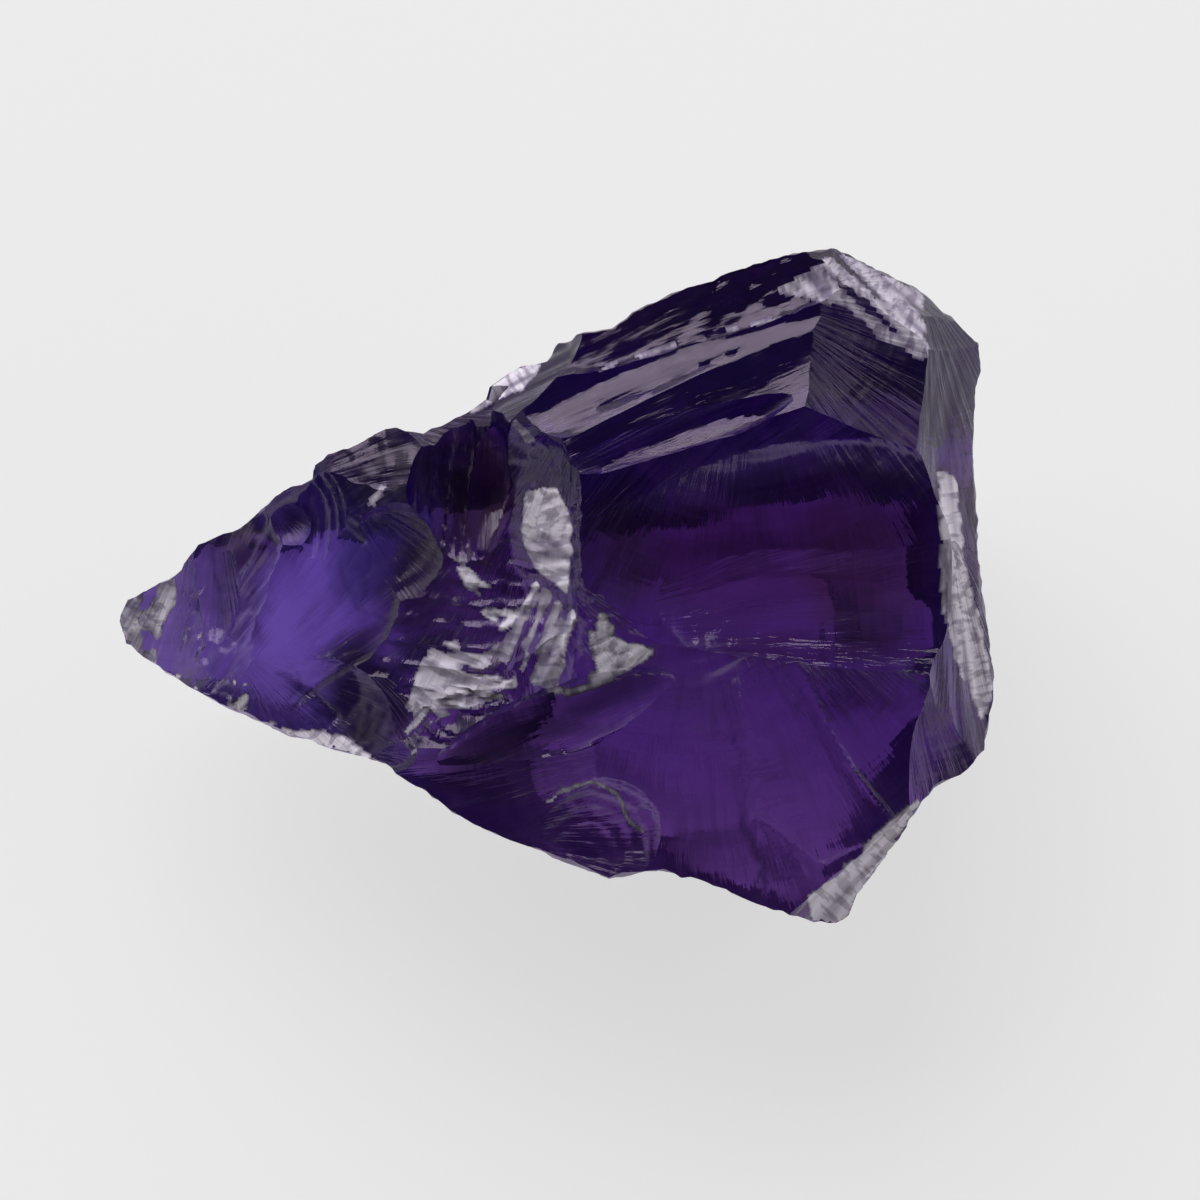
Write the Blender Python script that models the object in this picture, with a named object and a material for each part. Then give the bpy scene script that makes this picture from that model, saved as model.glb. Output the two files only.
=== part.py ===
"""A rough amethyst: one broken lump of gem quartz, 42 mm long.

The lump is struck out of a block the way the real one was. The block is the stone's outline,
seen from above, and each flake is a shallow dished scar that takes off one side of it.
Lengths are in millimetres until the last step. +Z is up, and the origin is under the middle
of the stone, on the surface that it lies on.
"""

from collections import namedtuple
import math

import bmesh
import bpy
from mathutils import Matrix, Vector, noise

# Driving dimensions, in millimetres.
MM = 0.001
BLOCK_HEIGHT = 26.0
MOST_CELL = 1.2
LEAST_CELL = 0.5
CELLS_ACROSS = 4
SLAB_HEIGHT = 60.0
CORE = Vector((4.0, 0.0, 10.0))

# The real surface wanders a little: how far, and over what distance.
WARP_REACH = 0.28
WARP_LENGTH = 4.5
WARP_SEED = 7
BASE_KEEP = 1.5

# The outline from above, from the thin end round the back, the thick end and the front.
OUTLINE = [
    (-21.0, -1.2), (-20.6, -0.3), (-18.8, 0.7), (-17.9, 1.4), (-17.2, 2.2), (-15.2, 3.0), (-13.9, 4.2),
    (-12.7, 5.0), (-11.9, 5.3), (-11.7, 6.1), (-11.0, 6.7), (-10.0, 6.9), (-9.2, 7.2), (-8.5, 7.6),
    (-7.6, 7.7), (-6.4, 7.4), (-4.7, 8.4), (-3.0, 9.8), (-1.9, 10.4), (-0.6, 10.9), (0.0, 11.8),
    (1.0, 12.3), (2.6, 12.5), (4.0, 13.3), (5.5, 14.1), (8.2, 15.1), (11.6, 15.9), (13.1, 16.1),
    (15.0, 15.3), (17.0, 14.4), (18.8, 12.9), (20.2, 11.6), (20.3, 10.6), (19.9, 8.6), (19.8, 6.4),
    (20.1, 4.4), (20.1, 1.4), (20.5, -1.0), (21.0, -4.3), (20.9, -5.4), (20.3, -7.8), (19.2, -8.9),
    (18.1, -9.4), (16.4, -11.5), (15.1, -13.4), (14.0, -15.7), (13.3, -16.1), (11.9, -16.0),
    (9.5, -15.1), (6.8, -13.9), (5.2, -13.5), (3.9, -13.5), (2.4, -13.8), (0.6, -13.2), (-3.7, -11.6),
    (-6.0, -10.1), (-8.1, -8.5), (-11.0, -7.5), (-13.9, -6.6), (-16.3, -5.6), (-17.9, -4.5),
    (-19.4, -3.6), (-20.8, -2.7),
]

# Points that several scars share, on the rim of the stone and on the ridges inside it.
POINTS = {
    "apex": (13.9, 13.8, 19.4),
    "facet_far": (17.4, 13.2, 17.0),
    "corner": (17.6, 11.2, 18.6),
    "crest_near": (1.0, 9.8, 18.6),
    "top_far": (12.0, 12.8, 19.9),
    "brow_left": (0.8, 5.0, 20.2),
    "brow_right": (17.6, 7.0, 19.4),
    "sill_left": (4.8, -3.0, 17.6),
    "ridge_high": (18.0, 5.0, 18.4),
    "ridge_mid": (18.3, 0.5, 18.0),
    "ridge_low": (18.0, -4.0, 17.0),
    "low_notch": (18.1, -9.4, 13.6),
    "shoulder": (20.4, 11.2, 14.0),
    "waist": (-8.2, -8.7, 12.3),
    "notch": (-6.2, 7.4, 14.6),
    "arc_mid": (0.8, -5.4, 16.2),
    "wedge_top": (-0.7, 0.3, 17.0),
    "wedge_left": (-2.6, -3.4, 15.0),
    "strip_low": (0.9, 0.0, 18.0),
    "fan_left": (-6.6, -3.0, 13.9),
}

# A scar: three points of the rim that it was struck through, how deep it is dished below them,
# its half length and half width, and how steeply its wall climbs outside that oval.
# The first two points give its long axis.
Flake = namedtuple("Flake", "name a b c dish half_length half_width wall", defaults=[0.0])

UNDERSIDE = [
    Flake("tail_under", (-21.6, -1.4, 7.9), (-4.0, -1.0, 1.3), (-8.0, 5.5, 4.2), 1.3, 12, 9),
    Flake("tail_back_under", (-17.8, 2.9, 9.7), (-7.0, 8.7, 13.6), (-3.6, 2.6, 0.5), 0.6, 10, 9),
    Flake("back_under", (-6.2, 8.6, 14.0), (5.5, 15.1, 17.7), (2.0, 3.9, 0.3), 0.8, 11, 10),
    Flake("back_right_under", (5.0, 15.1, 17.7), (14.6, 17.0, 16.6), (10.5, 4.7, 0.3), 0.7, 9, 9),
    Flake("right_back_under", (14.0, 17.1, 16.2), (21.1, 11.7, 13.0), (14.6, 5.0, 0.3), 0.6, 8, 9),
    Flake("right_under", (21.3, 11.0, 12.8), (22.0, -4.6, 11.2), (17.0, 0.0, 0.3), 0.6, 11, 8),
    Flake("right_front_under", (22.1, -5.4, 10.6), (14.9, -17.0, 8.2), (15.0, -8.6, 0.3), 0.7, 10, 8),
    Flake("front_under", (13.8, -17.1, 8.2), (-1.0, -14.0, 11.2), (6.7, -12.2, 0.3), 0.7, 11, 9),
    Flake("front_left_under", (0.0, -14.4, 11.2), (-9.0, -9.6, 10.4), (-0.6, -7.2, 0.3), 0.7, 9, 9),
    Flake("tail_front_under", (-8.0, -9.5, 7.8), (-19.4, -4.7, 7.6), (-5.0, -3.6, 0.3), 0.4, 10, 6, 0.6),
    Flake("back_heel", (-1.0, 5.0, 1.9), (10.0, 6.0, 1.9), (4.5, 1.3, -0.1), 0.3, 8, 4, 0.1),
    Flake("left_heel", (-5.8, 4.0, 5.8), (-5.2, -6.0, 5.8), (1.2, -2.0, -0.1), 0.4, 8, 5.0, 1.0),
    Flake("front_heel", (0.6, -12.4, 1.6), (11.5, -13.6, 1.4), (6.4, -10.0, -0.1), 0.2, 8, 4, 0.1),
    Flake("right_heel", (16.4, 8.0, 2.3), (17.0, -6.0, 2.3), (12.6, 2.0, -0.1), 0.3, 9, 6, 0.2),
]

TOP = [
    # The thick end: a shelf along the back, the slope over it, and the hollows under its crest.
    Flake("shelf", "crest_near", "apex", (6.4, 16.6, 18.3), 0.25, 8.5, 1.7, 1.2),
    Flake("slope", "crest_near", "apex", (6.8, 6.6, 22.2), 0.15, 8.5, 1.8, 0.9),
    Flake("scoop", (0.4, 7.0, 20.4), "top_far", (8.0, 6.6, 21.0), 0.4, 8.5, 2.6),
    Flake("brow_lip", (2.0, 5.9, 19.75), (9.5, 8.5, 19.75), (6.2, 6.2, 20.45), 0.1, 4.0, 0.7, 2.0),
    Flake("scoop_right", "top_far", "corner", "brow_right", 0.5, 5, 4),
    Flake("window", "brow_left", "brow_right", (11.0, -6.0, 16.3), 1.3, 10.5, 5.0, 0.5),
    Flake("window_low", "sill_left", "ridge_low", (15.5, 1.2, 16.2), 0.4, 7, 2.6, 0.5),
    Flake("bright_facet", "apex", "corner", "facet_far", 0.1, 4, 3),
    Flake("bright_back", "apex", "facet_far", (13.0, 16.1, 17.4), 0.15, 4, 3),
    Flake("back_right", (14.6, 15.7, 17.0), "facet_far", (17.0, 14.5, 14.6), 0.2, 5, 3),
    Flake("far_side", "facet_far", "corner", "shoulder", 0.2, 4, 3),
    Flake("right_upper", "corner", "ridge_high", "shoulder", 0.3, 6, 5),
    Flake("right_lower", "ridge_mid", "ridge_low", (21.1, -4.6, 12.0), 0.3, 6, 6),
    Flake("heel_face", "ridge_low", (20.3, -7.9, 13.0), "low_notch", 0.3, 5, 4),
    Flake("foot_side", (17.6, -9.6, 14.2), (12.0, -14.9, 12.2), (13.6, -16.0, 9.5), 0.2, 6, 4),
    # The face towards the viewer, and the ledge that overhangs its dark end.
    Flake("lower_face", "sill_left", "ridge_low", (5.0, -13.5, 12.6), 0.4, 10, 7),
    Flake("front_left_face", (1.0, -7.4, 15.2), "waist", (-3.7, -11.6, 12.0), 0.3, 7, 4),
    Flake("dark_wedge", (6.4, -4.2, 16.9), (-6.8, -9.0, 12.4), (0.6, -5.7, 15.0), 0.3, 6.2, 1.4, 2.4),
    Flake("arc_scar", (-1.2, -11.8, 12.6), (4.4, -11.4, 13.0), (1.6, -9.0, 14.4), 0.3, 3, 2.3, 0.6),
    # The gully between the two ends, with the frosted wedge of steps at its foot.
    Flake("back_left", "notch", (-0.5, 11.0, 16.4), (-1.2, 9.0, 18.0), 0.15, 4, 2.5, 0.8),
    Flake("hollow_side", "notch", (-5.8, 2.0, 15.0), (-2.0, 3.0, 15.8), 1.4, 5, 2.4, 0.8),
    Flake("hollow", (-3.6, 7.4, 14.8), (-3.8, 2.0, 14.2), (-2.2, 4.6, 15.2), 1.8, 2.9, 1.5, 1.4),
    Flake("strip", (0.8, 5.2, 19.8), "strip_low", (-1.7, 2.0, 15.4), 0.3, 4.5, 3.2, 0.6),
    Flake("right_fan", "strip_low", "sill_left", "arc_mid", 0.3, 3.2, 2.6, 0.4),
    Flake("central_wedge", "wedge_top", "arc_mid", "wedge_left", 0.2, 3.6, 2.4, 0.6),
    Flake("ribs", (-6.2, 1.4, 14.8), (-2.0, 0.2, 16.0), (-5.5, -2.6, 14.2), 0.2, 3.2, 2.4, 0.7),
    Flake("left_fan", "wedge_left", "fan_left", (-7.3, -8.2, 12.6), 0.3, 4, 3, 0.6),
    # The thin end: one rough break first, and then the bowl, the window and the small chips in it.
    Flake("tail_rough", (-21.0, -1.5, 8.7), (-7.0, 7.5, 14.9), (-7.0, -8.5, 14.3), 0.2, 9, 8, 0.3),
    Flake("tail_plateau", (-11.8, 5.6, 13.0), (-6.4, 7.3, 14.2), (-8.5, 4.0, 14.4), 0.15, 3.5, 2.2, 0.9),
    Flake("tail_bowl", (-10.2, 1.6, 13.0), (-5.2, 1.8, 14.6), (-7.6, -1.2, 13.9), 0.9, 2.9, 2.9, 0.8),
    Flake("curtain", (-10.7, 5.2, 13.0), (-10.6, 1.5, 12.4), (-11.8, 3.4, 12.0), 0.3, 2.3, 1.3, 0.8),
    Flake("tail_window", (-10.0, 1.2, 12.4), (-13.4, -0.6, 11.4), (-11.0, -3.6, 11.9), 0.3, 4, 3.4, 0.5),
    Flake("hair", (-10.3, -3.8, 12.4), (-6.2, -1.6, 14.0), (-9.0, -1.6, 13.3), 0.2, 2.8, 1.3, 0.6),
    Flake("blue_face", (-10.2, -3.8, 12.4), (-6.9, -3.4, 13.8), (-9.0, -7.6, 11.8), 0.3, 3, 2.6, 0.5),
    Flake("window_foot", (-13.6, -3.4, 11.2), (-10.4, -4.2, 11.6), (-12.0, -6.2, 10.4), 0.15, 2.6, 1.9, 0.5),
    Flake("waist_chip", (-9.0, -7.4, 11.9), (-7.0, -7.4, 12.6), (-8.0, -8.6, 11.8), 0.05, 1.2, 0.8, 1.0),
    Flake("tail_slope", (-13.9, 2.6, 11.1), (-13.9, -4.0, 11.5), (-17.2, -1.0, 9.5), 0.25, 4.4, 2.3, 0.3),
    Flake("tail_bevel", (-17.2, 2.0, 10.0), (-12.4, 4.9, 11.8), (-14.6, 2.4, 11.5), 0.1, 3.3, 1.0, 0.8),
    Flake("dark_scoop", (-13.2, 3.9, 11.6), (-11.8, 3.0, 12.2), (-12.4, 2.4, 11.8), 0.5, 1.1, 0.9, 0.9),
    Flake("tongue", (-16.3, 1.9, 9.8), (-16.3, -2.0, 9.6), (-15.1, 0.0, 10.4), 0.25, 2.0, 0.95, 0.9),
    Flake("tail_step", (-17.2, 1.4, 9.9), (-17.4, -3.6, 9.4), (-18.4, -1.0, 8.6), 0.1, 3.0, 1.2, 0.4),
    Flake("tail_tip", (-18.4, 0.8, 8.9), (-19.0, -3.4, 8.5), (-21.0, -1.5, 7.8), 0.1, 3.0, 2.2, 0.3),
    Flake("knob_facet", (-8.2, 7.6, 14.3), (-6.4, 6.2, 14.8), (-6.6, 7.6, 13.7), 0.05, 1.4, 1.0, 1.0),
]

AMETHYST = (0.10, 0.035, 0.22, 1.0)
ROUGHNESS = 0.12
QUARTZ_IOR = 1.544


def clear_scene():
    for obj in list(bpy.data.objects):
        bpy.data.objects.remove(obj, do_unlink=True)


def collection(name, hidden=False):
    made = bpy.data.collections.new(name)
    made.hide_render = hidden
    bpy.context.scene.collection.children.link(made)
    return made


def block(name, into):
    """The outline stood up to the full height, in millimetres."""
    curve = bpy.data.curves.new(name, "CURVE")
    curve.dimensions = "2D"
    curve.fill_mode = "BOTH"
    curve.extrude = BLOCK_HEIGHT / 2
    spline = curve.splines.new("POLY")
    spline.points.add(len(OUTLINE) - 1)
    for point, (x, y) in zip(spline.points, OUTLINE):
        point.co = (x, y, 0, 1)
    spline.use_cyclic_u = True
    drawn = bpy.data.objects.new(name + "_outline", curve)
    drawn.location.z = BLOCK_HEIGHT / 2
    into.objects.link(drawn)
    bpy.context.view_layer.update()
    graph = bpy.context.evaluated_depsgraph_get()
    mesh = bpy.data.meshes.new_from_object(drawn.evaluated_get(graph))
    mesh.transform(drawn.matrix_world)
    bpy.data.objects.remove(drawn)
    bm = bmesh.new()
    bm.from_mesh(mesh)
    bmesh.ops.remove_doubles(bm, verts=bm.verts, dist=1e-4)
    bmesh.ops.recalc_face_normals(bm, faces=bm.faces)
    bm.to_mesh(mesh)
    bm.free()
    made = bpy.data.objects.new(name, mesh)
    into.objects.link(made)
    return made


def scar_frame(flake):
    """The scar's own axes: its length along X, and Z out of the stone."""
    a, b, c = (Vector(POINTS.get(point, point)) for point in (flake.a, flake.b, flake.c))
    along = (b - a).normalized()
    out = along.cross(c - a).normalized()
    middle = (a + b + c) / 3
    if out.dot(middle - CORE) < 0:
        out = -out
    across = out.cross(along)
    return Matrix.Translation(middle) @ Matrix((along, across, out)).transposed().to_4x4()


def cutter(flake, into):
    """A slab whose underside is the scar: a grid pressed into a bowl and drawn up to a thickness."""
    reach = 2.0 * max(flake.half_length, flake.half_width)
    cell = min(MOST_CELL, max(LEAST_CELL, 2 * flake.half_width / CELLS_ACROSS))
    cells = round(2 * reach / cell)
    bm = bmesh.new()
    bmesh.ops.create_grid(bm, x_segments=cells, y_segments=cells, size=reach)
    for vert in bm.verts:
        ratio = math.hypot(vert.co.x / flake.half_length, vert.co.y / flake.half_width)
        beyond = max(0.0, ratio - 1)
        bowl = ratio * ratio - 1 if ratio < 1 else 2 * beyond
        vert.co.z = flake.dish * bowl + flake.wall * flake.half_width * beyond
    drawn = bmesh.ops.extrude_face_region(bm, geom=bm.faces[:])["geom"]
    for vert in (item for item in drawn if isinstance(item, bmesh.types.BMVert)):
        vert.co.z = SLAB_HEIGHT
    bmesh.ops.recalc_face_normals(bm, faces=bm.faces)
    mesh = bpy.data.meshes.new(flake.name)
    bm.to_mesh(mesh)
    bm.free()
    mesh.transform(scar_frame(flake))
    made = bpy.data.objects.new(flake.name, mesh)
    made.display_type = "WIRE"
    made.hide_render = True
    into.objects.link(made)
    return made


def strike(stone, cutters):
    """Takes every flake off, and makes what is left the stone's own mesh."""
    for tool in cutters:
        cut = stone.modifiers.new(tool.name, "BOOLEAN")
        cut.operation = "DIFFERENCE"
        cut.solver = "MANIFOLD"
        cut.object = tool
    bpy.context.view_layer.update()
    graph = bpy.context.evaluated_depsgraph_get()
    struck = bpy.data.meshes.new_from_object(stone.evaluated_get(graph))
    stone.modifiers.clear()
    stone.data = struck


def weather(mesh):
    """Lets the surface wander, but keeps the face that the stone lies on flat."""
    noise.seed_set(WARP_SEED)
    for vert in mesh.vertices:
        drift = noise.noise_vector(vert.co / WARP_LENGTH) * WARP_REACH
        drift.z *= min(1.0, vert.co.z / BASE_KEEP)
        vert.co += drift


def amethyst_material():
    material = bpy.data.materials.new("amethyst")
    material.use_nodes = True
    shader = material.node_tree.nodes["Principled BSDF"]
    shader.inputs["Base Color"].default_value = AMETHYST
    shader.inputs["Roughness"].default_value = ROUGHNESS
    shader.inputs["Metallic"].default_value = 0.0
    shader.inputs["IOR"].default_value = QUARTZ_IOR
    return material


def main():
    clear_scene()
    parts = collection("rough_amethyst")
    tools = collection("flakes", hidden=True)
    stone = block("amethyst", parts)
    strike(stone, [cutter(flake, tools) for flake in UNDERSIDE + TOP])
    weather(stone.data)
    stone.data.transform(Matrix.Scale(MM, 4))
    stone.data.materials.clear()
    stone.data.materials.append(amethyst_material())
    return stone


main()
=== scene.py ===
"""The looks of a rough amethyst: a lump of clear violet quartz, 42 mm long, bounded by fracture scars.

The stone is struck out of its block again as in its CAD model, scar by scar, but finely enough
to carry the ripples, hackles and frosted steps of each break. Lengths are in millimetres until
the finished stone is scaled to metres.
"""

import math

import bmesh
import bpy
import numpy as np
from mathutils import Matrix, Vector, noise


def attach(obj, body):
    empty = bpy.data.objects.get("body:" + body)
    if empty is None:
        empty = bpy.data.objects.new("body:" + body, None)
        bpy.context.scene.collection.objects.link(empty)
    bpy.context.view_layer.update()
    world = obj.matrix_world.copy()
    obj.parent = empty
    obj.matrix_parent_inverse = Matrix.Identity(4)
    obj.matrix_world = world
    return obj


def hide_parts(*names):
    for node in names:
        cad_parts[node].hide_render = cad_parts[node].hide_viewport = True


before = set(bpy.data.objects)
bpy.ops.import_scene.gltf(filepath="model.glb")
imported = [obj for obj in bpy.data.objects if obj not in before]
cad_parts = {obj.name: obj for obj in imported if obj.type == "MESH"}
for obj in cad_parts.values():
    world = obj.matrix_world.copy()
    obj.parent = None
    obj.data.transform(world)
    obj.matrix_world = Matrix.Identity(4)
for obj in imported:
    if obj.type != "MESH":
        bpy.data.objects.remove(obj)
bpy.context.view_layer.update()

# The view: the photograph looks straight down on the stone through a long close-up lens, with
# the stone's long side level and its rim, about 13 mm up, filling three quarters of the frame.
MM = 0.001
PHOTO_SIDE_PX = 1200
PX = 42.0 / 883
VIEW_CENTRE = (43.5 * PX, -10.5 * PX)
RIM_HEIGHT = 13.0
LENS_DISTANCE = 600.0
SENSOR_WIDTH = 36.0

lens = bpy.data.cameras.new("close_up")
lens.sensor_width = SENSOR_WIDTH
lens.lens = SENSOR_WIDTH * LENS_DISTANCE / (PHOTO_SIDE_PX * PX)
lens.clip_start = 0.01
camera = bpy.data.objects.new("close_up", lens)
camera.location = Vector((*VIEW_CENTRE, LENS_DISTANCE + RIM_HEIGHT)) * MM
bpy.context.scene.collection.objects.link(camera)
bpy.context.scene.camera = camera


# The finest marks of a break run the way that its crack took: hackles along it, ripples across
# it, and patches where it ran rougher. The attribute "crack" holds that way: millimetres across
# it, millimetres along it, and a number for each scar. The stretches are waves per millimetre.
HACKLE_STRETCH = (3.6, 0.22, 1.0)
RIPPLE_STRETCH = (0.28, 1.5, 1.0)
PATCH_STRETCH = (0.9, 0.3, 1.0)
SCALE_STRETCH = (1.1, 2.6, 1.0)
RELIEF_HEIGHT = 0.00007
# Painted shade in the grooves of the hackles: how dark it gets, darkest in the rougher patches.
DARKEST_HACKLE_SHADE, FAINTEST_HACKLE_SHADE = 0.62, 0.94


def stretched_noise(tree, source, stretch, detail):
    """Noise drawn out along the directions of a vector; returns the socket with its value."""
    stretcher = tree.nodes.new("ShaderNodeMapping")
    stretcher.inputs["Scale"].default_value = stretch
    tree.links.new(source, stretcher.inputs["Vector"])
    pattern = tree.nodes.new("ShaderNodeTexNoise")
    pattern.inputs["Scale"].default_value = 1.0
    pattern.inputs["Detail"].default_value = detail
    tree.links.new(stretcher.outputs["Vector"], pattern.inputs["Vector"])
    return pattern.outputs[0]


def mapped(tree, value, low, high, to_low, to_high):
    """A value eased from one range to another; an end of the new range may itself be a socket."""
    reach = tree.nodes.new("ShaderNodeMapRange")
    reach.interpolation_type = "SMOOTHSTEP"
    ends = {"From Min": low, "From Max": high, "To Min": to_low, "To Max": to_high}
    for name, number in ends.items():
        if isinstance(number, float):
            reach.inputs[name].default_value = number
        else:
            tree.links.new(number, reach.inputs[name])
    tree.links.new(value, reach.inputs["Value"])
    return reach.outputs["Result"]


def combined(tree, operation, first, second):
    """Two sockets put together by one step of arithmetic."""
    step = tree.nodes.new("ShaderNodeMath")
    step.operation = operation
    tree.links.new(first, step.inputs[0])
    tree.links.new(second, step.inputs[1])
    return step.outputs["Value"]


break_marks = bpy.data.node_groups.new("break_marks", "ShaderNodeTree")
for name in ("Hackle Depth", "Ripple Depth", "Smooth Roughness", "Rough Roughness"):
    break_marks.interface.new_socket(name, in_out="INPUT", socket_type="NodeSocketFloat")
for name in ("Roughness", "Scales", "Streaks"):
    break_marks.interface.new_socket(name, in_out="OUTPUT", socket_type="NodeSocketFloat")
break_marks.interface.new_socket("Normal", in_out="OUTPUT", socket_type="NodeSocketVector")
given = break_marks.nodes.new("NodeGroupInput").outputs
shown = break_marks.nodes.new("NodeGroupOutput").inputs
crack_way = break_marks.nodes.new("ShaderNodeAttribute")
crack_way.attribute_name = "crack"
hackles = stretched_noise(break_marks, crack_way.outputs["Vector"], HACKLE_STRETCH, 4.0)
ripples = stretched_noise(break_marks, crack_way.outputs["Vector"], RIPPLE_STRETCH, 1.0)
patches = stretched_noise(break_marks, crack_way.outputs["Vector"], PATCH_STRETCH, 5.0)
scales = stretched_noise(break_marks, crack_way.outputs["Vector"], SCALE_STRETCH, 3.0)

hackle_height = combined(break_marks, "MULTIPLY", hackles, given["Hackle Depth"])
ripple_height = combined(break_marks, "MULTIPLY", ripples, given["Ripple Depth"])
relief = break_marks.nodes.new("ShaderNodeBump")
relief.inputs["Distance"].default_value = RELIEF_HEIGHT
break_marks.links.new(combined(break_marks, "ADD", hackle_height, ripple_height), relief.inputs["Height"])
break_marks.links.new(relief.outputs["Normal"], shown["Normal"])

gloss = mapped(break_marks, patches, 0.42, 0.66, given["Smooth Roughness"], given["Rough Roughness"])
break_marks.links.new(gloss, shown["Roughness"])
break_marks.links.new(mapped(break_marks, scales, 0.36, 0.58, 0.0, 1.0), shown["Scales"])
# Painted shade: the crystal's colour is darkened where the hackles' relief is low, in their grooves.
faintness = mapped(break_marks, patches, 0.38, 0.62, FAINTEST_HACKLE_SHADE, DARKEST_HACKLE_SHADE)
break_marks.links.new(mapped(break_marks, hackles, 0.3, 0.6, faintness, 1.0), shown["Streaks"])


# The crystal: quartz, violet by what it absorbs on the way through. Its breaks are glossy, but
# satin underneath; where the crack ran out in steps they are frosted, and scatter the light.
QUARTZ_IOR = 1.544
SHEEN_TINT = (0.95, 0.78, 1.0, 1.0)
ABSORPTION_PER_M = (150.0, 209.0, 56.0)
BARE_FROST = (0.045, 0.022, 0.10, 1.0)
FULL_FROST_AND_PAINTED_SHEEN = (0.82, 0.76, 0.87, 1.0)


def crystal(name, smooth_roughness, rough_roughness, hackle, ripple, transmission):
    """One finish of the quartz; returns its material and the node with the marks of its breaks."""
    material = bpy.data.materials.new(name)
    material.use_nodes = True
    nodes, links = material.node_tree.nodes, material.node_tree.links
    shader = nodes["Principled BSDF"]
    shader.inputs["Metallic"].default_value = 0.0
    shader.inputs["IOR"].default_value = QUARTZ_IOR
    shader.inputs["Specular Tint"].default_value = SHEEN_TINT
    shader.inputs["Transmission Weight"].default_value = transmission
    marks = nodes.new("ShaderNodeGroup")
    marks.node_tree = break_marks
    for socket, number in zip(marks.inputs, (hackle, ripple, smooth_roughness, rough_roughness)):
        socket.default_value = number
    links.new(marks.outputs["Roughness"], shader.inputs["Roughness"])
    links.new(marks.outputs["Normal"], shader.inputs["Normal"])
    inside = nodes.new("ShaderNodeVolumeAbsorption")
    density = max(ABSORPTION_PER_M)
    inside.inputs["Color"].default_value = (*(1 - each / density for each in ABSORPTION_PER_M), 1.0)
    inside.inputs["Density"].default_value = density
    links.new(inside.outputs["Volume"], nodes["Material Output"].inputs["Volume"])
    return material, marks


def see_through(name, smooth_roughness, rough_roughness, hackle, ripple):
    """Crystal that lets light in, tinted by its colour zone with painted light and shade, and darkened with
    painted shade in the grooves of its hackles.
    """
    material, marks = crystal(name, smooth_roughness, rough_roughness, hackle, ripple, 1.0)
    nodes, links = material.node_tree.nodes, material.node_tree.links
    # The tint carries painted light and painted shade as well as the crystal's colour.
    tint_and_painted_light = nodes.new("ShaderNodeAttribute")
    tint_and_painted_light.attribute_name = "tint_and_painted_light"
    hackle_shaded = nodes.new("ShaderNodeMix")
    hackle_shaded.data_type = "RGBA"
    hackle_shaded.blend_type = "MULTIPLY"
    hackle_shaded.inputs["Factor"].default_value = 1.0
    links.new(tint_and_painted_light.outputs["Color"], hackle_shaded.inputs["A"])
    links.new(marks.outputs["Streaks"], hackle_shaded.inputs["B"])
    links.new(hackle_shaded.outputs["Result"], nodes["Principled BSDF"].inputs["Base Color"])
    return material


def frost_and_painted_sheen_finish(name, smooth_roughness, rough_roughness, hackle, ripple):
    """Crystal that is white where its frost and painted sheen attribute is high, in scales with darker gaps;
    the white is frost on stepped breaks and painted sheen on steep glossy facets.
    """
    material, marks = crystal(name, smooth_roughness, rough_roughness, hackle, ripple, 0.0)
    tree = material.node_tree
    frost_and_painted_sheen = tree.nodes.new("ShaderNodeAttribute")
    frost_and_painted_sheen.attribute_name = "frost_and_painted_sheen"
    shades = tree.nodes.new("ShaderNodeValToRGB")
    shades.color_ramp.elements[0].color = BARE_FROST
    shades.color_ramp.elements[1].color = FULL_FROST_AND_PAINTED_SHEEN
    scaled = mapped(tree, marks.outputs["Scales"], 0.0, 1.0, 0.5, 1.15)
    tree.links.new(combined(tree, "MULTIPLY", frost_and_painted_sheen.outputs["Fac"], scaled), shades.inputs["Fac"])
    tree.links.new(shades.outputs["Color"], tree.nodes["Principled BSDF"].inputs["Base Color"])
    return material


# The frosted finish also carries painted sheen: white painted on steep glossy facets where they reflect the
# light.
CRYSTALS = [
    see_through("clear_amethyst", 0.05, 0.26, 1.4, 0.8),
    frost_and_painted_sheen_finish("frost_and_painted_sheen_amethyst", 0.35, 0.5, 1.5, 1.5),
    see_through("matt_amethyst", 0.45, 0.62, 1.0, 0.6),
]
FROST_AND_PAINTED_SHEEN, MATT = 1, 2


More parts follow.
